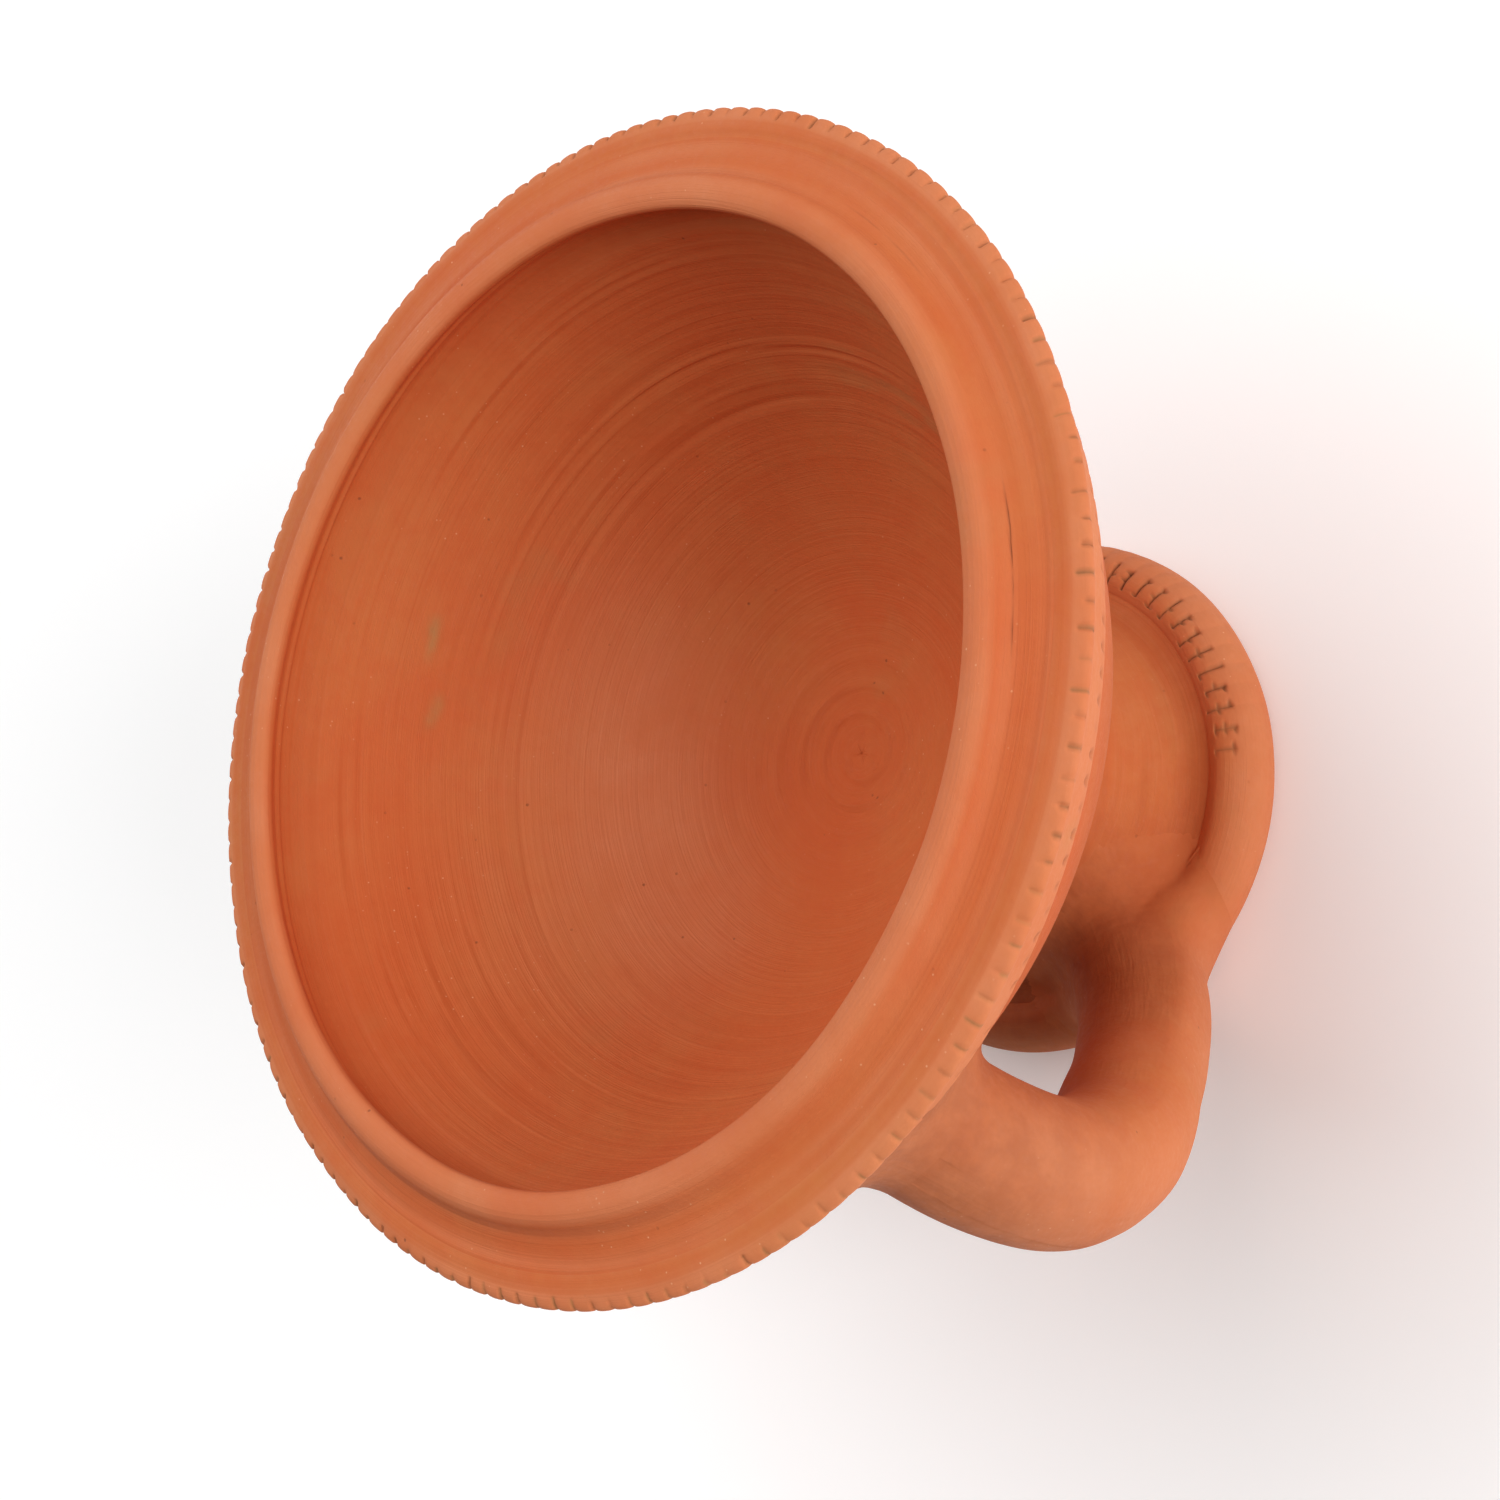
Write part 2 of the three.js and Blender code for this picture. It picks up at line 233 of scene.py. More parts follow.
def turned(rows, angles, shape):
    """A grid of points turned from an outline. shape(radius, height, angle) wobbles, cuts and marks it."""
    radius = np.repeat(rows[:, :1], len(angles), axis=1)
    height = np.repeat(rows[:, 1:], len(angles), axis=1)
    angle = np.repeat(angles[None, :], len(rows), axis=0)
    radius, height, marks = shape(radius, height, angle)
    x, y = axis_at(height)
    return np.stack([x + radius * np.cos(angle), y + radius * np.sin(angle), height], axis=-1), marks


def marked(like, dirt_and_shade=0, ash=0, pale=0):
    """What the material darkens, greys and lightens: three shares from 0 to 1 at each point. The darkening is
    real dirt in some places and painted shade in others.
    """
    return np.clip(np.stack([like * 0 + share for share in (dirt_and_shade, ash, pale)], axis=-1), 0, 1)


def round_points(radius, height, angle):
    """Places on the turned pieces, for noise that joins up round the back."""
    return np.stack([radius * np.cos(angle), radius * np.sin(angle), height], axis=-1)


BROAD_WOBBLE = (0.12, 26)                # how far a hand-thrown wall strays from round, and over what size
SMALL_WOBBLE = (0.05, 9)
HANDLE_FADE = 22                         # degrees over which wobble and lines come back beside the handle


def hand_wobble(radius, height, angle):
    """How far a hand-thrown wall strays from round."""
    points = round_points(radius, height, angle)
    broad = BROAD_WOBBLE[0] * noise(points, BROAD_WOBBLE[1])
    return broad + SMALL_WOBBLE[0] * noise(points + 50, SMALL_WOBBLE[1])


def free_of_handle(angle, half_span):
    """0 where the handle joins on, so that the skins of the pieces meet there, and 1 well away from it."""
    return 1 - near_turn(angle, 0, half_span, HANDLE_FADE)


def circle_noise(angle, turns, layer):
    """Noise round a circle of this many lumps' radius. Each layer has a noise of its own."""
    return noise(np.stack([turns * np.cos(angle), turns * np.sin(angle), angle * 0 + layer], axis=-1), 1)


def throwing_lines(along, angle, size, drift=3.0):
    """Ridges left by the fingers: noise along the outline that changes slowly round the piece."""
    x = drift * np.cos(angle) + 11
    y = drift * np.sin(angle) + 23
    return noise(np.stack([along / size, x, y], axis=-1), 1)


def arc_length(rows):
    return np.concatenate([[0], np.cumsum(np.linalg.norm(np.diff(rows, axis=0), axis=1))])


OPEN_CRACK = {"radius": 55.15, "turn": (58, 4, 6)}        # turn: direction, half span and fade in degrees
FAINT_CRACK = {"radius": 55.7, "turn": (98, 5, 4), "share": 0.25}
CRACK_WIDTH = 0.07
CRACK_WANDER = 0.06
CRACK_DEPTH = 0.3


def lip_crack(radius, height, angle):
    """How far the crease between lip and flange has opened: one open hairline, and a fainter one."""
    wander = CRACK_WANDER * circle_noise(angle, 46, 0)
    broken = ramp(circle_noise(angle, 31, 7), -0.35, 0.1)
    open_line = bell(radius, OPEN_CRACK["radius"] + wander, CRACK_WIDTH)
    open_line = open_line * near_turn(angle, *OPEN_CRACK["turn"]) * (0.15 + 0.6 * broken)
    faint_line = FAINT_CRACK["share"] * bell(radius, FAINT_CRACK["radius"] + wander, CRACK_WIDTH)
    faint_line = faint_line * near_turn(angle, *FAINT_CRACK["turn"]) * broken
    return (open_line + faint_line) * ramp(height, RIM_HEIGHT - 1.5, RIM_HEIGHT - 0.5)


RIPPLE = 0.06                            # height of the flange's low waves
FLANGE_CREST = 59.6                      # radius of the flange's worn, pale ridge
LIP_SKIRT = 56.3                         # and of the paler ring at the foot of the lip


def rim_ripple(radius, rise, angle):
    """Low concentric waves on the flange's top, which the lip's skirt shares."""
    points = round_points(radius, 0 * radius, angle)
    waves = RIPPLE * noise(points, 7) + RIPPLE * throwing_lines(radius, angle, 1.1, 3)
    return ramp(rise, -1, 0) * ramp(radius, 55.5, 57) * waves


def rim_pale(radius, rise, angle):
    """How pale the rim is: most at its worn corner and side and on the lip's crest, in rings between them."""
    bare = bell(radius, FLANGE_CREST, 0.9) + 0.6 * bell(radius, LIP_SKIRT, 0.8)
    rings = (0.3 + 0.4 * throwing_lines(radius, angle, 1, 1.6)) * (1 - np.clip(bare, 0, 1))
    crest = ramp(rise, 2.2, 3.3)
    corner = ramp(radius, 60.4, 61)
    side = ramp(rise, -0.3, -1.2)
    worn = [rings, 0.65 * crest, 0.7 * corner, 0.75 * side * ramp(radius, 56, 57)]
    return np.clip(np.maximum.reduce(worn), 0, 1)


# marks in the cup. turn: direction, half span and fade in degrees
COMBED_BANDS = ({"radius": 41.8, "width": 1.1, "turn": (165, 42, 25)},
                {"radius": 49, "width": 1.3, "turn": (190, 50, 30)})
COMB_DEPTH = 0.17
GROOVE = {"radius": 37.7, "shift": 0.3, "width": 0.28, "turn": (200, 50, 45), "depth": 0.16}
CRESCENT = {"radius": 6.9, "width": 0.3, "turn": (320, 30, 28), "depth": 0.35}
SWIRL_START = 2.6                        # radius where the spiral in the middle begins
SWIRL_PITCH = 3.2                        # how far it moves out in one turn
SWIRL_TURNS = ((0, 0.3, 0.4), (3.2, 0.26, 0.45), (6.4, 0.14, 0.6))      # shift, height and width of its turns


def cup_lines(along, radius, angle):
    """How far the cup's wall stands out: wheel lines, combed bands, one groove and the middle's swirl."""
    patches = 0.75 + 0.45 * noise(round_points(radius, along, angle), 19)
    wall = ramp(radius, 30, 40)
    wall_lines = 0.07 * throwing_lines(along, angle, 1.5) + 0.08 * throwing_lines(along, angle, 0.66, 4)
    floor_lines = 0.06 * throwing_lines(along + 30, angle, 2.2) + 0.04 * throwing_lines(along, angle, 0.9, 4)
    lines = wall * patches * wall_lines
    lines += (1 - wall) * patches * floor_lines
    combed = sum(bell(radius, band["radius"], band["width"]) * near_turn(angle, *band["turn"])
                 for band in COMBED_BANDS)
    lines += combed * COMB_DEPTH * throwing_lines(along + 9, angle, 0.6, 2.2)
    groove_radius = GROOVE["radius"] + GROOVE["shift"] * np.cos(angle)
    groove = -GROOVE["depth"] * bell(radius, groove_radius, GROOVE["width"])
    groove = groove * near_turn(angle, *GROOVE["turn"])
    spiral = SWIRL_START + SWIRL_PITCH * ((angle / TAU + 0.3) % 1)
    swirl = sum(rise * bell(radius, spiral + shift, width) for shift, rise, width in SWIRL_TURNS)
    swirl = swirl * ramp(radius, 0, 2)
    crescent = -CRESCENT["depth"] * bell(radius, CRESCENT["radius"], CRESCENT["width"])
    return lines + groove + swirl + crescent * near_turn(angle, *CRESCENT["turn"])


# ash and wiped clay in the cup, with turn as above
SMUDGES = ((68.3, 0.8, (215, 1.5, 3), 1), (66.8, 0.7, (226, 1, 3), 0.8))     # height, width, turn and share
SMEAR = {"radius": 41, "width": 6, "turn": (105, 12, 16)}
WIPED = {"radius": 28, "width": 10, "turn": (245, 20, 55), "share": 0.85}
BELLY_PAINTED_SHADE = 0.45                              # painted shade: how much darker the belly's underside is painted, standing in for the shade under the bowl
# how far the lip strays: out in one direction, and by noise of a size everywhere
MOUTH_STRETCH = {"turn": 210, "width": 35, "out": 0.35, "noise": 0.2, "size": 17}


def mouth_stretch(radius, height, angle):
    """How far the lip strays outwards."""
    broad = MOUTH_STRETCH["out"] * bell(turn_gap(angle, MOUTH_STRETCH["turn"]), 0, MOUTH_STRETCH["width"])
    points = round_points(radius, height, angle)
    return broad + MOUTH_STRETCH["noise"] * noise(points, MOUTH_STRETCH["size"])


def cup_ash(along, radius, height, angle):
    """Grey ash in the cup: small smudges on the far wall, and a smear dragged along the wheel lines."""
    ragged = 1.2 * noise(round_points(radius, height, angle), 3.5)
    smudges = sum(share * bell(height + ragged, level, width) * near_turn(angle, *turn)
                  for level, width, turn, share in SMUDGES)
    smears = near_turn(angle, *SMEAR["turn"]) * bell(radius, SMEAR["radius"], SMEAR["width"])
    smears = smears * ramp(throwing_lines(along, angle, 1.6, 6), 0, 0.6)
    return 0.9 * smudges + 0.45 * smears


def shape_bowl(radius, height, angle):
    rows = BOWL_OUTLINE
    run = arc_length(rows)
    along = np.repeat(run[:, None], radius.shape[1], axis=1)
    step_out, step_up = [np.gradient(rows[:, k], run)[:, None] for k in (0, 1)]
    inside = (np.arange(len(rows)) < np.argmax(rows[:, 1]))[:, None] * np.ones_like(radius)
    rise = height - RIM_HEIGHT
    push = inside * cup_lines(along, radius, angle) * ramp(rise, 0, -3)
    push += inside * ramp(rise, 1, -1) * ramp(rise, -6, -2) * 0.16 * throwing_lines(along, angle, 0.7, 1.5)
    belly = (1 - inside) * ramp(rise, -9, -14)
    free = np.where(inside > 0, 1, free_of_handle(angle, 12))
    push += belly * free * 0.09 * throwing_lines(along, angle, 2.4)
    mouth = bell(rise, 2.4, 2.4) * (1 - (1 - inside) * ramp(radius, 53, 55))
    stretch = mouth * mouth_stretch(radius, height, angle)
    crack = lip_crack(radius, height, angle)
    wiped = WIPED["share"] * bell(radius, WIPED["radius"], WIPED["width"]) * near_turn(angle, *WIPED["turn"])
    # painted shade: the belly's underside is darkened towards the waist, where the bowl's own shade falls
    belly_painted_shade = BELLY_PAINTED_SHADE * belly * ramp(radius, 56, 40)
    outside = ramp(rise, 1.4, 2.6) + (1 - inside) * ramp(rise, -2, -1)
    pale = inside * wiped * ramp(rise, 1, -1) + np.clip(outside, 0, 1) * rim_pale(radius, rise, angle)
    marks = marked(radius, 0.9 * crack + belly_painted_shade, inside * cup_ash(along, radius, height, angle), pale)
    wobble = free * hand_wobble(radius, height, angle) * ramp(radius, 4, 20)
    radius_out = radius - push * step_up + stretch + wobble
    height_out = height + push * step_out - CRACK_DEPTH * crack
    height_out = height_out + (1 - inside) * rim_ripple(radius, rise, angle)
    return radius_out, height_out, marks


def draws(count, low, high, seed):
    """One random number for each of a ring's notches."""
    return np.random.default_rng(seed).uniform(low, high, count)


def notch_columns(count):
    """Angles of the mesh's columns round a notched ring, and each one's notch and place across it."""
    number = np.repeat(np.arange(count), len(NOTCH_STOPS))
    across = np.tile(NOTCH_STOPS, count)
    return (number + 0.5 + across) / count * TAU, number, across


NICK_DEPTH = 0.7                         # how deep a nick of depth 1 is cut, both inwards and downwards
PAD_ROLL_OUT = 0.8                       # how far the pads between the nicks are rolled back
PAD_ROLL_DOWN = 0.45
PIT_DEPTH = 0.55
RIM_CREASE = {"radius": 59.5, "width": 0.16, "turn": (108, 26, 14), "depth": 0.05}


def shape_flange(radius, height, angle):
    """The flange's corner is rolled into soft pads with a short nick cut between each two."""
    _, number, across = notch_columns(RIM_NOTCHES)
    rise = height - RIM_HEIGHT
    inner_end = draws(RIM_NOTCHES, 60.8, 61.9, seed=5)[number]
    lower_end = draws(RIM_NOTCHES, -1.5, -0.6, seed=6)[number]
    faint = 1 - 0.5 * near_turn(angle, -5, 25, 15)
    depth = draws(RIM_NOTCHES, 0.05, 0.45, seed=3)[number] * faint
    shift = NOTCH_STOPS[4] * np.round(draws(RIM_NOTCHES, -1.4, 1.4, seed=14))[number]
    nick = wedge(across - shift, NICK_REACH) * ramp(radius, inner_end, inner_end + 0.5)
    nick = nick * ramp(rise, lower_end - 0.4, lower_end)
    between_pads = 1 - 2 * np.abs(across)
    lopsided = 1 + 0.35 * np.sign(across)
    scallop = lopsided * (1 - np.sqrt(np.clip(1 - between_pads ** 2, 0, 1)))
    rolled = draws(RIM_NOTCHES, 0.08, 0.26, seed=15)[number] + 0.22 * near_turn(angle, 120, 35, 30)
    scallop = rolled * scallop * ramp(radius, 60.9, 62.1) * ramp(rise, -2.8, -0.9)
    pit = wedge(across - 0.05, 0.24) * bell(rise, -7.7, 0.7) * (radius > 56.5)
    pit = pit * draws(RIM_NOTCHES, 0, 1, seed=4)[number]
    crease = ramp(rise, -1, 0) * RIM_CREASE["depth"] * bell(radius, RIM_CREASE["radius"], RIM_CREASE["width"])
    crease = crease * near_turn(angle, *RIM_CREASE["turn"])
    radius_out = radius + hand_wobble(radius, height, angle) * ramp(radius, 55, 57)
    radius_out += -PAD_ROLL_OUT * scallop - NICK_DEPTH * depth * nick - PIT_DEPTH * pit
    height_out = height + rim_ripple(radius, rise, angle) - crease
    height_out = height_out - PAD_ROLL_DOWN * scallop - NICK_DEPTH * depth * nick + 0.2 * pit
    dirt_and_shade = nick * faint * draws(RIM_NOTCHES, 0.05, 0.6, seed=9)[number] + 0.8 * pit + 3 * crease
    ash = nick * draws(RIM_NOTCHES, 0, 0.8, seed=10)[number]
    return radius_out, height_out, marked(radius, dirt_and_shade, ash, rim_pale(radius, rise, angle))


def stain(angle):
    """How dark the foot is at an angle: one side has been handled with sooty fingers."""
    return STAIN * near_turn(angle, STAIN_TURN, 40, 35)


CUTS_STOP = (52, 62)                     # degrees from the handle where its wiped clay ends the cuts
CUT_DEPTH_OUT = 0.75
CUT_DEPTH_DOWN = 0.66
BAR_SHARE = 0.8                          # how deep the short bars across the cuts are, next to the cuts


def shape_foot(radius, height, angle):
    """Thin cuts over the foot ring's shoulder, many with short bars across. They stop near the handle."""
    _, number, across = notch_columns(FOOT_NOTCHES)
    run = arc_length(FOOT_OUTLINE)[:radius.shape[0]]
    crest = np.argmax(FOOT_OUTLINE[:, 1])
    down = (arc_length(FOOT_OUTLINE)[crest] - run)[:, None] * np.ones_like(radius)
    unwiped = ramp(np.abs(turn_gap(angle, 0)), *CUTS_STOP)
    start = draws(FOOT_NOTCHES, -0.9, -0.1, seed=21)[number]
    end = draws(FOOT_NOTCHES, 2.3, 3.2, seed=22)[number]
    within = ramp(down, start - 0.15, start + 0.15) * ramp(down, end + 0.2, end - 0.1)
    line = wedge(across, NICK_REACH) * within
    bars = 0
    for level, seed in ((start + 0.2, 23), (0.5 * (start + end), 24), (end - 0.3, 25)):
        side = draws(FOOT_NOTCHES, -1.2, 1.2, seed=seed)[number]
        chosen = np.where(side > 0.25, across > 0, np.where(side < -0.25, across < 0, False))
        both = np.abs(side) > 0.95
        bars = bars + BAR_SHARE * (chosen | both) * ramp(np.abs(across), 0.3, 0.2) * bell(down, level, 0.17)
    cut = np.clip(line + bars, 0, 1) * unwiped
    scallop = 0.12 * wedge(across, 0.5) ** 2 * unwiped * ramp(down, 0.5, 2) * ramp(down, 7.5, 5.5)
    depth = draws(FOOT_NOTCHES, 0.35, 0.6, seed=12)[number] * cut
    wobble = 1.3 * free_of_handle(angle, FOOT_SMOOTH) * hand_wobble(radius, height, angle)
    wobble = wobble * ramp(height, 0, 2)
    radius_out = radius + wobble - CUT_DEPTH_OUT * depth - scallop
    height_out = height - CUT_DEPTH_DOWN * depth - 0.6 * scallop
    brown = draws(FOOT_NOTCHES, 0.4, 0.8, seed=13)[number] * cut + stain(angle)
    return radius_out, height_out, marked(radius, brown, 0.5 * cut, 0.3 + 0.5 * ramp(down, 0.5, 3))


def painted_joint_shade(points):
    """Painted shade in the corner between the handle and the foot."""
    corner = np.array([foot_axis[0], foot_axis[1], 0]) + PAINTED_JOINT_SHADE["centre"]
    return PAINTED_JOINT_SHADE["share"] * bell(np.linalg.norm(points - corner, axis=-1), 0, PAINTED_JOINT_SHADE["reach"])


def shape_plain(radius, height, angle):
    """The pedestal and the waist: thrown walls with soft lines, with painted shade in the groove and at the
    waist under the bowl.
    """
    points = round_points(radius, height, angle)
    lines = 0.16 * throwing_lines(height, angle, 1.5) + 0.1 * throwing_lines(height + 9, angle, 0.8, 3)
    lines *= ramp(height, 8, 10) * ramp(height, 26, 22)
    relief = hand_wobble(radius, height, angle) + lines + 0.08 * noise(points, 5)
    # painted shade in the groove, at the waist under the bowl and in the corner by the handle, plus the sooty
    # stain on one side
    dirt_and_shade = GROOVE_PAINTED_SHADE * bell(height, 8, 1.5) + WAIST_PAINTED_SHADE * ramp(height, 20, 28)
    dirt_and_shade += stain(angle) * ramp(height, 24, 16)
    dirt_and_shade += painted_joint_shade(points + [*foot_axis, 0])
    return radius + free_of_handle(angle, FOOT_SMOOTH) * relief, height, marked(radius, dirt_and_shade)


# -------------------------------------------- distances, for the joints that slip smooths over
GRID_STEP = 0.4
GRID_BOTTOM = -12
GRID_WIDE = 84
GRID_TOP = 96
FAR = 1e9
TINY = 1e-9


def polygon_distance(rows, points):
    """Signed distance in the outline's plane, negative inside."""
    best = np.full(len(points), FAR)
    inside = np.zeros(len(points), bool)
    for p, q in zip(rows, np.roll(rows, -1, axis=0)):
        edge = q - p
        share = np.clip((points - p) @ edge / max(edge @ edge, TINY), 0, 1)
        best = np.minimum(best, np.linalg.norm(points - p - share[:, None] * edge, axis=1))
        if p[1] != q[1]:
            crosses = (points[:, 1] < p[1]) != (points[:, 1] < q[1])
            at = p[0] + (points[:, 1] - p[1]) / (q[1] - p[1]) * edge[0]
            inside ^= crosses & (points[:, 0] < at)
    return np.where(inside, -best, best)


def turned_distance_grid():
    """Distances to the turned pieces on a grid of radii and heights, from outlines with fewer rows."""
    radii = np.arange(0, GRID_WIDE, GRID_STEP)
    heights = np.arange(GRID_BOTTOM, GRID_TOP, GRID_STEP)
    points = np.stack(np.meshgrid(radii, heights, indexing="ij"), axis=-1).reshape(-1, 2)
    outlines = [rows[::2] for rows in (FLANGE_OUTLINE, WAIST_OUTLINE, PEDESTAL_OUTLINE, FOOT_OUTLINE)]
    distances = [polygon_distance(rows, points) for rows in (BOWL_OUTLINE[::3], *outlines)]
    return np.min(distances, axis=0).reshape(len(radii), len(heights))


TURNED_GRID = turned_distance_grid()


def turned_distance(points):
    """Distance from points (..., 3) to the clay of the turned pieces, negative inside it."""
    x, y = axis_at(points[..., 2])
    radius = np.hypot(points[..., 0] - x, points[..., 1] - y) / GRID_STEP
    height = (points[..., 2] - GRID_BOTTOM) / GRID_STEP
    grid = TURNED_GRID
    i = np.clip(radius.astype(int), 0, grid.shape[0] - 2)
    j = np.clip(height.astype(int), 0, grid.shape[1] - 2)
    u = np.clip(radius - i, 0, 1)
    v = np.clip(height - j, 0, 1)
    return ((grid[i, j] * (1 - u) + grid[i + 1, j] * u) * (1 - v)
            + (grid[i, j + 1] * (1 - u) + grid[i + 1, j + 1] * u) * v)


def blended(a, b, fillet):
    """The distance to two joined bodies with the corner between them filled."""
    overlap = np.clip(fillet - np.abs(a - b), 0, None)
    return np.minimum(a, b) - overlap ** 2 / (4 * fillet)


def first_crossing(fields):
    """Where a field, sampled along its first axis, first rises above zero, as a share of that axis."""
    steps = len(fields)
    above = fields > 0
    last = np.where(above.any(axis=0), np.argmax(above, axis=0) - 1, steps - 1)
    last = np.clip(last, 0, steps - 1)
    following = np.minimum(last + 1, steps - 1)
    before = np.take_along_axis(fields, last[None], axis=0)[0]
    after = np.take_along_axis(fields, following[None], axis=0)[0]
    part = np.where(following > last, np.clip(-before / np.maximum(after - before, 1e-6), 0, 1), 0)
    return (last + part) / (steps - 1)


# -------------------------------------------- the handle and its wads
HANDLE_SIDES = 144
HANDLE_RINGS = 380
PATH_STEPS = 40
PATH_STRIDE = 6                           # every so many points of the path are enough for distances to it
BURIED = 2.8                              # how deep the handle's ends lie inside the clay they join
PRESSED_FROM = (41, 25)                   # mm before the foot where the coil's inner side gets pressed flat
SHADED = {"share": 0.42, "from": 43, "to": 13}      # painted shade on the handle's start under the rim, in mm along it
LUMP_MARGINS = (13, 10)                   # mm at the handle's start and end that lie in the joints
LUMP_FADE = (12, 24)                      # mm beyond them over which its lumps come up
path_start = [foot_axis[0] - LEAN[0] * FOOT_WIDE, foot_axis[1] - LEAN[1] * FOOT_WIDE, 0]
PATH = smooth_curve(np.array(HANDLE_PATH) + path_start, PATH_STEPS)
PATH_RUN = np.concatenate([[0], np.cumsum(np.linalg.norm(np.diff(PATH, axis=0), axis=1))])


def path_sides():
    """Two directions across the handle's centre line: sideways, and away from the finger gap."""
    tangent = np.gradient(PATH, PATH_RUN, axis=0)
    tangent /= np.linalg.norm(tangent, axis=1)[:, None]
    side = np.array([0.0, 1.0, 0.0]) - tangent * tangent[:, 1:2]
    side /= np.linalg.norm(side, axis=1)[:, None]
    return side, np.cross(tangent, side)


PATH_SIDE, PATH_OUT = path_sides()


def foot_end(run):
    """1 over the handle's last stretch, before the foot, and 0 along the rest of it."""
    return ramp(PATH_RUN[-1] - run, *PRESSED_FROM)


def handle_radius(run, inward):
    """The coil is nearly round, and pressed flatter on its inner side near the foot, with a soft edge."""
    share = run / PATH_RUN[-1]
    round_part = HANDLE_RADIUS + 0.12 * np.sin(share * 9)
    round_part = round_part - 0.7 * bell(share, 0.45, 0.15) * np.clip(inward, 0, 1)
    pressed = -1.1 * np.clip(inward, 0, 1) ** 1.4 + 0.5 * bell(inward, 0.12, 0.3)
    return round_part + foot_end(run) * pressed


def slip_fillet(run, inward):
    """How wide the slip is round the handle's ends."""
    at_foot = FOOT_FILLET_OUTER + (FOOT_FILLET_INNER - FOOT_FILLET_OUTER) * ramp(inward, -0.6, 0.3)
    at_bowl = BOWL_FILLET_OUTER + (BOWL_FILLET_INNER - BOWL_FILLET_OUTER) * ramp(inward, -0.3, 0.5)
    share = ramp(run / PATH_RUN[-1], 0.4, 0.6)
    return at_bowl * (1 - share) + at_foot * share


def joined_distance(points):
    """Distance to the turned pieces and the handle together, with the slip between them."""
    flat = points.reshape(-1, 3)
    best = np.full(len(flat), FAR)
    fillet = np.full(len(flat), BOWL_FILLET_OUTER)
    for k in range(int(np.argmax(PATH_RUN > HANDLE_INSIDE)), len(PATH), PATH_STRIDE):
        away = flat - PATH[k]
        length = np.linalg.norm(away, axis=1)
        inward = -away @ PATH_OUT[k] / np.maximum(length, 1e-6)
        distance = length - handle_radius(PATH_RUN[k], inward)
        fillet = np.where(distance < best, slip_fillet(PATH_RUN[k], inward), fillet)
        best = np.minimum(best, distance)
    shape = points.shape[:-1]
    return blended(best.reshape(shape), turned_distance(points), fillet.reshape(shape))


def deep_enough(depths):
    """How many steps to go before lying deep in the clay, or as deep as it gets."""
    deep = np.flatnonzero(depths < -BURIED)
    return deep[0] if len(deep) else int(np.argmin(depths))


def handle_rows():
    """The handle's grid: each column runs from just inside the bowl's wall to just inside the foot."""
    angles = np.linspace(0, TAU, HANDLE_SIDES, endpoint=False)
    cosines = np.cos(angles)[None, :, None]
    sines = np.sin(angles)[None, :, None]
    normal = PATH_SIDE[:, None] * cosines + PATH_OUT[:, None] * sines
    inward = np.broadcast_to(-np.sin(angles), normal.shape[:2])
    skin = PATH[:, None] + normal * handle_radius(PATH_RUN[:, None], inward)[..., None]
    depth = turned_distance(skin)
    middle = len(PATH) // 2
    eased = (1 - np.cos(np.linspace(0, math.pi, HANDLE_RINGS))) / 2
    spread = 0.75 * eased + 0.25 * np.linspace(0, 1, HANDLE_RINGS)
    rows = np.zeros((HANDLE_RINGS, HANDLE_SIDES, 3))
    normals = np.zeros_like(rows)
    runs = np.zeros(rows.shape[:2])
    for column in range(HANDLE_SIDES):
        first = middle - deep_enough(depth[middle::-1, column])
        last = middle + deep_enough(depth[middle:, column])
        run = PATH_RUN[first] + (PATH_RUN[last] - PATH_RUN[first]) * spread
        runs[:, column] = run
        for k in range(3):
            rows[:, column, k] = np.interp(run, PATH_RUN, skin[:, column, k])
            normals[:, column, k] = np.interp(run, PATH_RUN, normal[:, column, k])
    from_joint = np.minimum(runs - LUMP_MARGINS[0], PATH_RUN[-1] - runs - LUMP_MARGINS[1])
    lumps = (0.2 * noise(rows, 13) + 0.09 * noise(rows + 40, 5)) * ramp(from_joint, *LUMP_FADE)
    return rows + normals * lumps[..., None], runs, angles


def into_hollows(points):
    """How far points (..., 3) lie in the cup, the foot's hollow or the ground, or just under their skin."""
    height = points[..., 2]
    x, y = axis_at(height)
    radius = np.hypot(points[..., 0] - x, points[..., 1] - y)
    cup = CUP_RADIUS * np.clip((height - CUP_FLOOR) / CUP_DEPTH, 0, 1) ** (1 / CUP_POWER)
    hollow_radii, hollow_heights = np.array(FOOT_HOLLOW).T
    foot = np.interp(height, hollow_heights, hollow_radii)
    return WAD_COVER + np.maximum(np.maximum(cup, foot) - radius, -height)


def wad_rows(wad, sides=140, rings=110, steps=26):
    """Clay pressed into a joint and wiped flush: an ellipsoid that stops just under the joint's skin."""
    centre = np.array(wad["centre"]) + [foot_axis[0], foot_axis[1], 0]
    polar = np.linspace(0, math.pi, rings)[:, None]
    angles = np.linspace(0, TAU, sides, endpoint=False)[None, :]
    sphere = np.stack([np.sin(polar) * np.cos(angles), np.sin(polar) * np.sin(angles),
                       np.cos(polar) + angles * 0], axis=-1)
    arms = sphere * wad["radii"]
    depths = []
    for share in np.linspace(0, 1, steps):
        points = centre + arms * share
        sunk = WAD_SUNK + WAD_EDGE_SUNK * ramp(share, WAD_EDGE_FROM, 1)
        depths.append(np.maximum(joined_distance(points) + sunk, into_hollows(points)))
    return centre + arms * first_crossing(np.array(depths))[..., None]


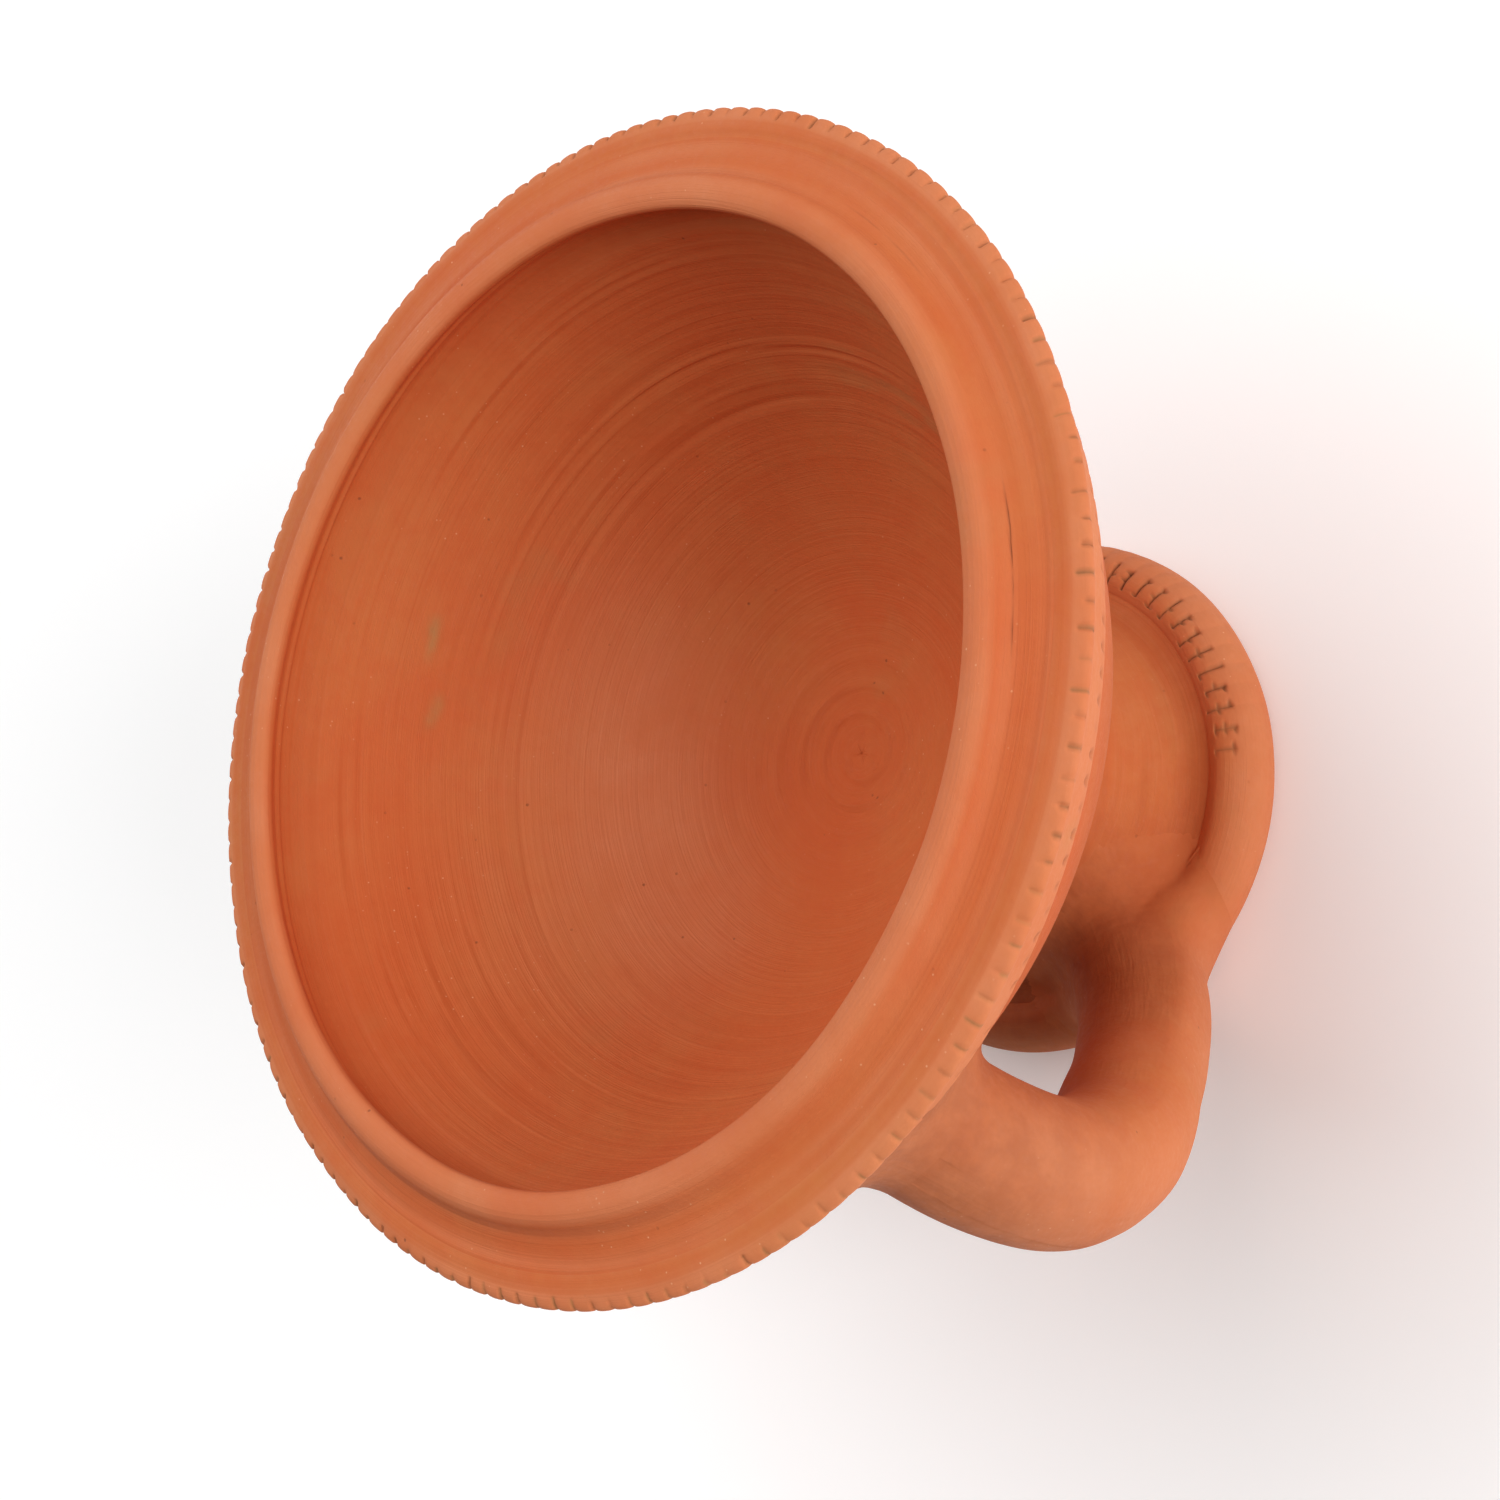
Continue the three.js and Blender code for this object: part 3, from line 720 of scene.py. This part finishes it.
def beside_handle(points):
    """Where points lie along the handle and round it, as its own grid counts them."""
    flat = points.reshape(-1, 3)
    nearest = np.argmin([np.linalg.norm(flat - p, axis=1) for p in PATH], axis=0)
    away = flat - PATH[nearest]
    angle = np.arctan2((away * PATH_OUT[nearest]).sum(axis=1), (away * PATH_SIDE[nearest]).sum(axis=1))
    return PATH_RUN[nearest].reshape(points.shape[:-1]), angle.reshape(points.shape[:-1])


def handle_colours(points, runs, angles):
    """The handle's marks and streaks: its outer side is worn pale, its start under the rim and its corner by
    the foot get painted shade, and its streaks run lengthwise.
    """
    worn = 0.75 * ramp(np.sin(angles), -0.3, 0.7)
    shaded = SHADED["share"] * ramp(runs, SHADED["from"], SHADED["to"])
    streaks = np.stack([runs * 0.12, 6 * np.cos(angles), 6 * np.sin(angles)], axis=-1)
    return marked(runs, dirt_and_shade=shaded + painted_joint_shade(points), pale=worn), streaks


# -------------------------------------------- meshes
def skin_mesh(name, grid, marks, streaks, ring_closed, material):
    """A closed mesh over a grid of rows. Its columns join up. Its rows join up, or end in one point each."""
    rows, columns = grid.shape[:2]
    index = np.arange(rows * columns).reshape(rows, columns)
    around = np.roll(index, -1, axis=1)
    last = rows if ring_closed else rows - 1
    above = np.roll(index, -1, axis=0)
    faces = np.stack([index, around, np.roll(above, -1, axis=1), above], axis=-1)[:last].reshape(-1, 4)
    points = grid.reshape(-1, 3)
    caps = []
    if not ring_closed:
        caps = [(a, b, len(points)) for a, b in zip(around[0], index[0])]
        caps += [(a, b, len(points) + 1) for a, b in zip(index[-1], around[-1])]
        points = np.vstack([points, grid[0].mean(axis=0), grid[-1].mean(axis=0)])
    a, b, c, d = np.moveaxis(points[faces], 1, 0)
    volume = np.einsum("ij,ij->i", a, np.cross(b, c) + np.cross(c, d)).sum()
    polygons = faces.tolist() + [[int(i) for i in cap] for cap in caps]
    if volume < 0:
        polygons = [polygon[::-1] for polygon in polygons]
    mesh = bpy.data.meshes.new(name)
    mesh.from_pydata((points * MM).tolist(), [], polygons)
    mesh.polygons.foreach_set("use_smooth", [True] * len(mesh.polygons))
    for label, values in (("marks", marks), ("streaks", streaks)):
        values = values.reshape(-1, 3)
        values = np.vstack([values, np.repeat(values[-1:], len(points) - len(values), axis=0)])
        attribute = mesh.attributes.new(label, "FLOAT_VECTOR", "POINT")
        attribute.data.foreach_set("vector", values.ravel())
    mesh.materials.append(material)
    piece = bpy.data.objects.new(name, mesh)
    bpy.context.scene.collection.objects.link(piece)
    return piece


# -------------------------------------------- fired clay
class Clay:
    """Builds one terracotta material from procedural nodes in the lamp's own space."""

    def __init__(self, name):
        self.material = bpy.data.materials.new(name)
        self.material.use_nodes = True
        self.tree = self.material.node_tree
        self.tree.nodes.clear()

    def node(self, kind, **settings):
        node = self.tree.nodes.new(kind)
        for key, value in settings.items():
            setattr(node, key, value)
        return node

    def link(self, source, target):
        self.tree.links.new(source, target)

    def noise(self, vector, scale=1.0, detail=2.0, rough=0.5, distortion=0.0):
        node = self.node("ShaderNodeTexNoise")
        settings = {"Scale": scale, "Detail": detail, "Roughness": rough, "Distortion": distortion}
        for socket, value in settings.items():
            node.inputs[socket].default_value = value
        self.link(vector, node.inputs["Vector"])
        return node.outputs[0]

    def spots(self, vector, per_metre, radius, edge):
        """1 in scattered round spots, 0 between them. Their size is a share of the distance between them."""
        node = self.node("ShaderNodeTexVoronoi")
        node.inputs["Scale"].default_value = per_metre
        self.link(vector, node.inputs["Vector"])
        return self.map(node.outputs["Distance"], radius + edge, radius, 0, 1)

    def shifted(self, vector, amount):
        node = self.node("ShaderNodeVectorMath", operation="ADD")
        node.inputs[1].default_value = (amount, amount, amount)
        self.link(vector, node.inputs[0])
        return node.outputs[0]

    def stretched(self, vector, scale):
        node = self.node("ShaderNodeVectorMath", operation="MULTIPLY")
        node.inputs[1].default_value = scale
        self.link(vector, node.inputs[0])
        return node.outputs[0]

    def map(self, value, low, high, to_low=0.0, to_high=1.0):
        node = self.node("ShaderNodeMapRange", clamp=True)
        for socket, number in zip(node.inputs[1:5], (low, high, to_low, to_high)):
            socket.default_value = number
        self.link(value, node.inputs[0])
        return node.outputs[0]

    def math(self, operation, *values):
        node = self.node("ShaderNodeMath", operation=operation)
        for socket, value in zip(node.inputs, values):
            if isinstance(value, (int, float)):
                socket.default_value = value
            else:
                self.link(value, socket)
        return node.outputs[0]

    def times(self, *values):
        total = values[0]
        for value in values[1:]:
            total = self.math("MULTIPLY", total, value)
        return total

    def plus(self, *values):
        total = values[0]
        for value in values[1:]:
            total = self.math("ADD", total, value)
        return total

    def mix(self, share, a, b):
        node = self.node("ShaderNodeMix", data_type="RGBA")
        for socket, value in ((node.inputs[0], share), (node.inputs[6], a), (node.inputs[7], b)):
            if isinstance(value, (int, float, tuple)):
                socket.default_value = value
            else:
                self.link(value, socket)
        return node.outputs[2]


CLAY_ORANGE = (0.590, 0.137, 0.036, 1)
CLAY_PINK = (0.620, 0.180, 0.068, 1)
CLAY_OCHRE = (0.580, 0.170, 0.046, 1)
CLAY_RED = (0.560, 0.094, 0.021, 1)
CLAY_PALE = (0.680, 0.235, 0.105, 1)
CLAY_DARK = (0.150, 0.045, 0.020, 1)
CLAY_ASH = (0.400, 0.215, 0.075, 1)
MICA = (0.860, 0.500, 0.280, 1)
BUMP_STRENGTH = 0.35
BUMP_DISTANCE = 0.00025                   # metres
GLOSSIEST = 0.6                           # roughness on the mica and the finest grain
ROUGHEST = 0.92                           # and between them


def clay(name, wheel_lines, line_depth, pinkness, redness=0.0, strokes=0.0):
    """Unglazed terracotta: mottled, faintly streaked by the wheel, with mica specks, pits and a fine grain.

    The noises' sizes are in lumps per metre, and each shift of the place gives a noise of its own.
    """
    c = Clay(name)
    place = c.node("ShaderNodeTexCoord").outputs["Object"]
    streaks = c.node("ShaderNodeAttribute", attribute_name="streaks").outputs["Vector"]
    marks = c.node("ShaderNodeSeparateXYZ")
    c.link(c.node("ShaderNodeAttribute", attribute_name="marks").outputs["Vector"], marks.inputs[0])
    dirt_and_shade, ash, pale = marks.outputs

    clouds = c.noise(place, 34, 3, 0.55, 0.6)
    patches = c.noise(c.shifted(place, 3.1), 70, 4, 0.6, 0.4)
    mottle = c.noise(c.shifted(place, 5.3), 330, 3, 0.65)
    grain = c.noise(place, 1500, 2, 0.6)
    fine = c.noise(streaks, 1, 3, 0.7)
    broad = c.noise(c.stretched(streaks, (0.2, 0.7, 0.7)), 1, 2, 0.5)

    colour = c.mix(c.map(clouds, 0.36, 0.68), CLAY_ORANGE, CLAY_OCHRE)
    colour = c.mix(c.map(patches, 0.42, 0.7, 0.15 * pinkness, pinkness), colour, CLAY_PINK)
    colour = c.mix(c.map(clouds, 0.66, 0.34, redness * 0.5, redness), colour, CLAY_RED)
    colour = c.mix(c.map(broad, 0.42, 0.75, 0, wheel_lines), colour, CLAY_RED)
    colour = c.mix(c.map(fine, 0.5, 0.74, 0, wheel_lines), colour, CLAY_PINK)
    colour = c.mix(c.map(mottle, 0.42, 0.72, 0, 0.3), colour, CLAY_RED)
    colour = c.mix(c.map(grain, 0.45, 0.75, 0, 0.16), colour, CLAY_PINK)
    colour = c.mix(c.times(pale, c.map(patches, 0.3, 0.7, 0.45, 0.95)), colour, CLAY_PALE)

    thick_specks = c.map(c.noise(c.shifted(place, 7.7), 45, 2, 0.6), 0.47, 0.66)
    specks = c.times(c.spots(place, 760, 0.04, 0.06), thick_specks)
    colour = c.mix(c.times(specks, 0.55), colour, MICA)
    few = c.map(c.noise(c.shifted(place, 2.2), 110, 2, 0.5), 0.52, 0.6)
    pits = c.times(c.spots(c.shifted(place, 0.4), 300, 0.03, 0.04), few)
    colour = c.mix(c.times(pits, 0.55), colour, CLAY_DARK)
    drifts = c.map(c.noise(c.shifted(place, 1.9), 48, 3, 0.6), 0.64, 0.8, 0, 0.3)
    ashy = c.math("MAXIMUM", drifts, c.times(ash, c.map(mottle, 0.3, 0.6, 0.35, 0.75)))
    colour = c.mix(ashy, colour, CLAY_ASH)
    # darkens by the dirt-and-shade share: real dirt in nicks, cuts and cracks, and painted shade under the
    # bowl and in corners
    colour = c.mix(c.times(dirt_and_shade, c.map(mottle, 0.3, 0.6, 0.6, 0.95)), colour, CLAY_DARK)

    line_height = c.times(fine, c.map(patches, 0.35, 0.6, 0.35 * line_depth, line_depth))
    scrape = c.noise(c.stretched(place, (110, 1100, 110)), 1, 2, 0.6, 0.3)
    scrape = c.times(scrape, c.map(clouds, 0.4, 0.6, 0, strokes))
    height = c.plus(c.times(grain, 0.3), line_height, c.times(mottle, 0.7), scrape, c.times(pits, -1.2))
    bump = c.node("ShaderNodeBump")
    bump.inputs["Strength"].default_value = BUMP_STRENGTH
    bump.inputs["Distance"].default_value = BUMP_DISTANCE
    c.link(height, bump.inputs["Height"])

    shader = c.node("ShaderNodeBsdfPrincipled")
    shader.inputs["Specular IOR Level"].default_value = 0.25
    c.link(colour, shader.inputs["Base Color"])
    roughness = c.map(c.plus(c.times(grain, 0.5), c.times(specks, -0.6)), 0.1, 0.35, GLOSSIEST, ROUGHEST)
    c.link(roughness, shader.inputs["Roughness"])
    c.link(bump.outputs["Normal"], shader.inputs["Normal"])
    output = c.node("ShaderNodeOutputMaterial")
    c.link(shader.outputs[0], output.inputs["Surface"])
    return c.material


materials = {
    "bowl_clay": clay("bowl clay", wheel_lines=0.22, line_depth=2.2, pinkness=0.22, redness=0.52),
    "rim_clay": clay("rim clay", wheel_lines=0.34, line_depth=0.9, pinkness=0.4),
    "foot_clay": clay("foot clay", wheel_lines=0.42, line_depth=1.6, pinkness=0.5, redness=0.12),
    "handle_clay": clay("handle clay", wheel_lines=0.1, line_depth=0.3, pinkness=0.65, redness=0.12,
                        strokes=1.6),
}

# -------------------------------------------- the pieces
LINES_PER_MM = 2.6                        # how closely the wheel's finest lines lie
ROUND_DRIFT = 0.7                         # how slowly they change round the piece
BOWL_COLUMNS = 256
PLAIN_COLUMNS = 240


def place(name, node, slot, grid, marks, streaks, ring_closed):
    piece = skin_mesh(name, grid, marks, streaks, ring_closed, materials[slot])
    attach(piece, "root")
    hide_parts(node)
    return piece


def place_turned(name, node, slot, rows, angles, shape, ring_closed=True):
    if ring_closed:
        rows = rows[:-1]
    grid, marks = turned(rows, angles, shape)
    along = np.repeat(arc_length(rows)[:, None], len(angles), axis=1) * LINES_PER_MM
    around = np.broadcast_to(angles, along.shape)
    streaks = np.stack([along, ROUND_DRIFT * np.cos(around), ROUND_DRIFT * np.sin(around)], axis=-1)
    return place(name, node, slot, grid, marks, streaks, ring_closed)


bowl_angles = np.linspace(0, TAU, BOWL_COLUMNS, endpoint=False)
plain_angles = np.linspace(0, TAU, PLAIN_COLUMNS, endpoint=False)
rim_angles = notch_columns(RIM_NOTCHES)[0]
foot_angles = notch_columns(FOOT_NOTCHES)[0]

place_turned("bowl_fired", "bowl", "bowl_clay", BOWL_OUTLINE, bowl_angles, shape_bowl, ring_closed=False)
place_turned("flange_fired", "flange_ring", "rim_clay", FLANGE_OUTLINE, rim_angles, shape_flange)
place_turned("waist_fired", "waist_coil", "foot_clay", WAIST_OUTLINE, plain_angles, shape_plain)
place_turned("pedestal_fired", "pedestal", "foot_clay", PEDESTAL_OUTLINE, plain_angles, shape_plain)
place_turned("foot_fired", "foot_ring", "foot_clay", FOOT_OUTLINE, foot_angles, shape_foot)

handle_grid, handle_runs, handle_angles = handle_rows()
handle_look = handle_colours(handle_grid, handle_runs, np.broadcast_to(handle_angles, handle_runs.shape))
place("handle_fired", "handle", "handle_clay", handle_grid, *handle_look, ring_closed=False)
for wad_name, wad in (("upper_wad", UPPER_WAD), ("lower_wad", LOWER_WAD)):
    wad_grid = wad_rows(wad)
    wad_look = handle_colours(wad_grid, *beside_handle(wad_grid))
    place(f"{wad_name}_fired", f"handle_{wad_name}", "handle_clay", wad_grid, *wad_look, ring_closed=False)

# -------------------------------------------- floor, light and camera
FLOOR_SIZE = 6                            # metres
FLOOR_WHITE = 0.95
FLOOR_GLOW = 0.14
WORLD_AS_LIGHT = 0.1
WORLD_AS_BACKDROP = 0.95
LIGHT_DISTANCE = 1.6                      # metres from the mouth
scene = bpy.context.scene
scene.view_settings.view_transform = "Standard"


def plain_material(name, colour, glow):
    material = bpy.data.materials.new(name)
    material.use_nodes = True
    shader = material.node_tree.nodes["Principled BSDF"]
    shader.inputs["Base Color"].default_value = (*colour, 1)
    shader.inputs["Roughness"].default_value = 0.9
    shader.inputs["Specular IOR Level"].default_value = 0.1
    shader.inputs["Emission Color"].default_value = (*colour, 1)
    shader.inputs["Emission Strength"].default_value = glow
    return material


bpy.ops.mesh.primitive_plane_add(size=FLOOR_SIZE, location=(0, 0, 0))
floor = bpy.context.object
floor.name = "floor"
floor.data.materials.append(plain_material("floor", [FLOOR_WHITE] * 3, FLOOR_GLOW))

world = bpy.data.worlds.new("studio")
scene.world = world
world.use_nodes = True
background = world.node_tree.nodes["Background"]
background.inputs["Color"].default_value = (1, 1, 1, 1)
camera_sees = world.node_tree.nodes.new("ShaderNodeLightPath")
brightness = world.node_tree.nodes.new("ShaderNodeMapRange")
for socket, number in zip(brightness.inputs[1:5], (0, 1, WORLD_AS_LIGHT, WORLD_AS_BACKDROP)):
    socket.default_value = number
world.node_tree.links.new(camera_sees.outputs["Is Camera Ray"], brightness.inputs[0])
world.node_tree.links.new(brightness.outputs[0], background.inputs["Strength"])

mouth = Vector((*axis_at(RIM_HEIGHT), RIM_HEIGHT)) * MM


def soft_light(name, azimuth, elevation, size, power):
    """A round soft box that faces the mouth. Angles are in degrees, size in metres and power in watts."""
    data = bpy.data.lights.new(name, "AREA")
    data.shape = "DISK"
    data.size = size
    data.energy = power
    lamp = bpy.data.objects.new(name, data)
    level = math.cos(math.radians(elevation))
    away = Vector((level * math.cos(math.radians(azimuth)), level * math.sin(math.radians(azimuth)),
                   math.sin(math.radians(elevation))))
    lamp.location = mouth + away * LIGHT_DISTANCE
    lamp.rotation_euler = away.to_track_quat("Z", "Y").to_euler()
    lamp.visible_camera = False
    scene.collection.objects.link(lamp)


soft_light("front", azimuth=45, elevation=17, size=0.95, power=19.5)
soft_light("overhead", azimuth=0, elevation=90, size=1.6, power=11)
soft_light("far", azimuth=198, elevation=36, size=2.2, power=17)
soft_light("fill", azimuth=135, elevation=52, size=0.9, power=3)

CAMERA_OFFSET = Vector((157.59, 117.09, 176.63)) * MM     # from the mouth's centre
CAMERA_RIGHT = Vector((0.40632, 0.61388, -0.67680))       # the lamp leans over on its side in this view
CAMERA_BACK = Vector((0.55640, 0.42132, 0.71618))
CAMERA_LENS = 61.34                       # for Blender's usual 36 mm wide sensor
camera_data = bpy.data.cameras.new("camera")
camera_data.lens = CAMERA_LENS
camera = bpy.data.objects.new("camera", camera_data)
camera.location = mouth + CAMERA_OFFSET
back = CAMERA_BACK.normalized()
right = (CAMERA_RIGHT - back * CAMERA_RIGHT.dot(back)).normalized()
camera.rotation_mode = "QUATERNION"
camera.rotation_quaternion = Matrix((right, back.cross(right), back)).transposed().to_quaternion()
scene.collection.objects.link(camera)
scene.camera = camera

bpy.context.view_layer.update()
